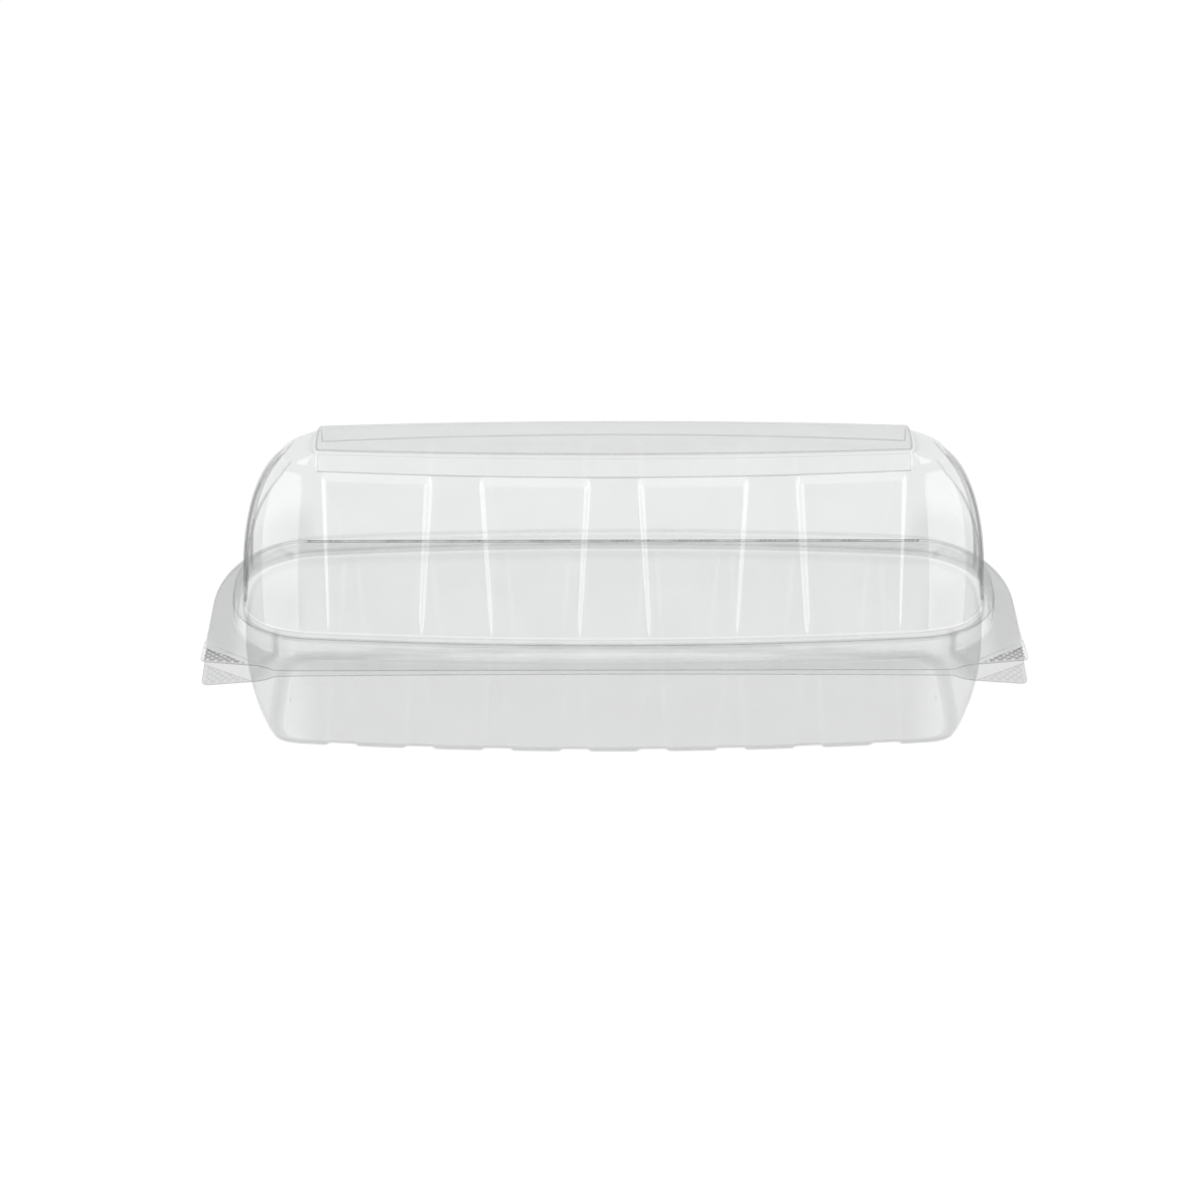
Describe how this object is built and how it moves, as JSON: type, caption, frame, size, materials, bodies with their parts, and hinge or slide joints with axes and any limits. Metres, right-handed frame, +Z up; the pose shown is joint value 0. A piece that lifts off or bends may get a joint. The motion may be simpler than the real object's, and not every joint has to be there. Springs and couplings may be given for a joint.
{
  "type": "hinged clamshell carton",
  "caption": "Clear thermoformed clamshell carton: fluted oblong base tray, tall domed lid on a living hinge, knurled pull tabs at both front corners.",
  "frame": {"origin": "on the floor under the middle of the closed carton", "axes": "+X along the carton, +Z up, the pull tabs at -Y and the hinge at +Y"},
  "size_m": [0.2722, 0.1002, 0.0987],
  "materials": {
    "clear_sheet": "clear, glossy thermoformed film",
    "clear_tab": "clear, with a fine diamond knurl",
    "clear_hinge": "clear, crimped along the fold"
  },
  "bodies": {
    "base": {"base_tray": "clear_sheet", "base_rim": "clear_sheet", "base_flange": "clear_sheet", "base_tab_left": "clear_tab", "base_tab_right": "clear_tab", "hinge_strip": "clear_hinge"},
    "lid": {"lid_dome": "clear_sheet", "lid_roof": "clear_sheet", "lid_skirt": "clear_sheet", "lid_flange": "clear_sheet", "lid_tab_left": "clear_tab", "lid_tab_right": "clear_tab"}
  },
  "joints": [
    {"name": "lid_hinge", "type": "hinge", "parent": "base", "child": "lid", "pos_m": [0, 0.04933, 0.0368], "axis": [-1, 0, 0], "range_deg": [0, 145], "deforming": ["hinge_strip"]}
  ]
}
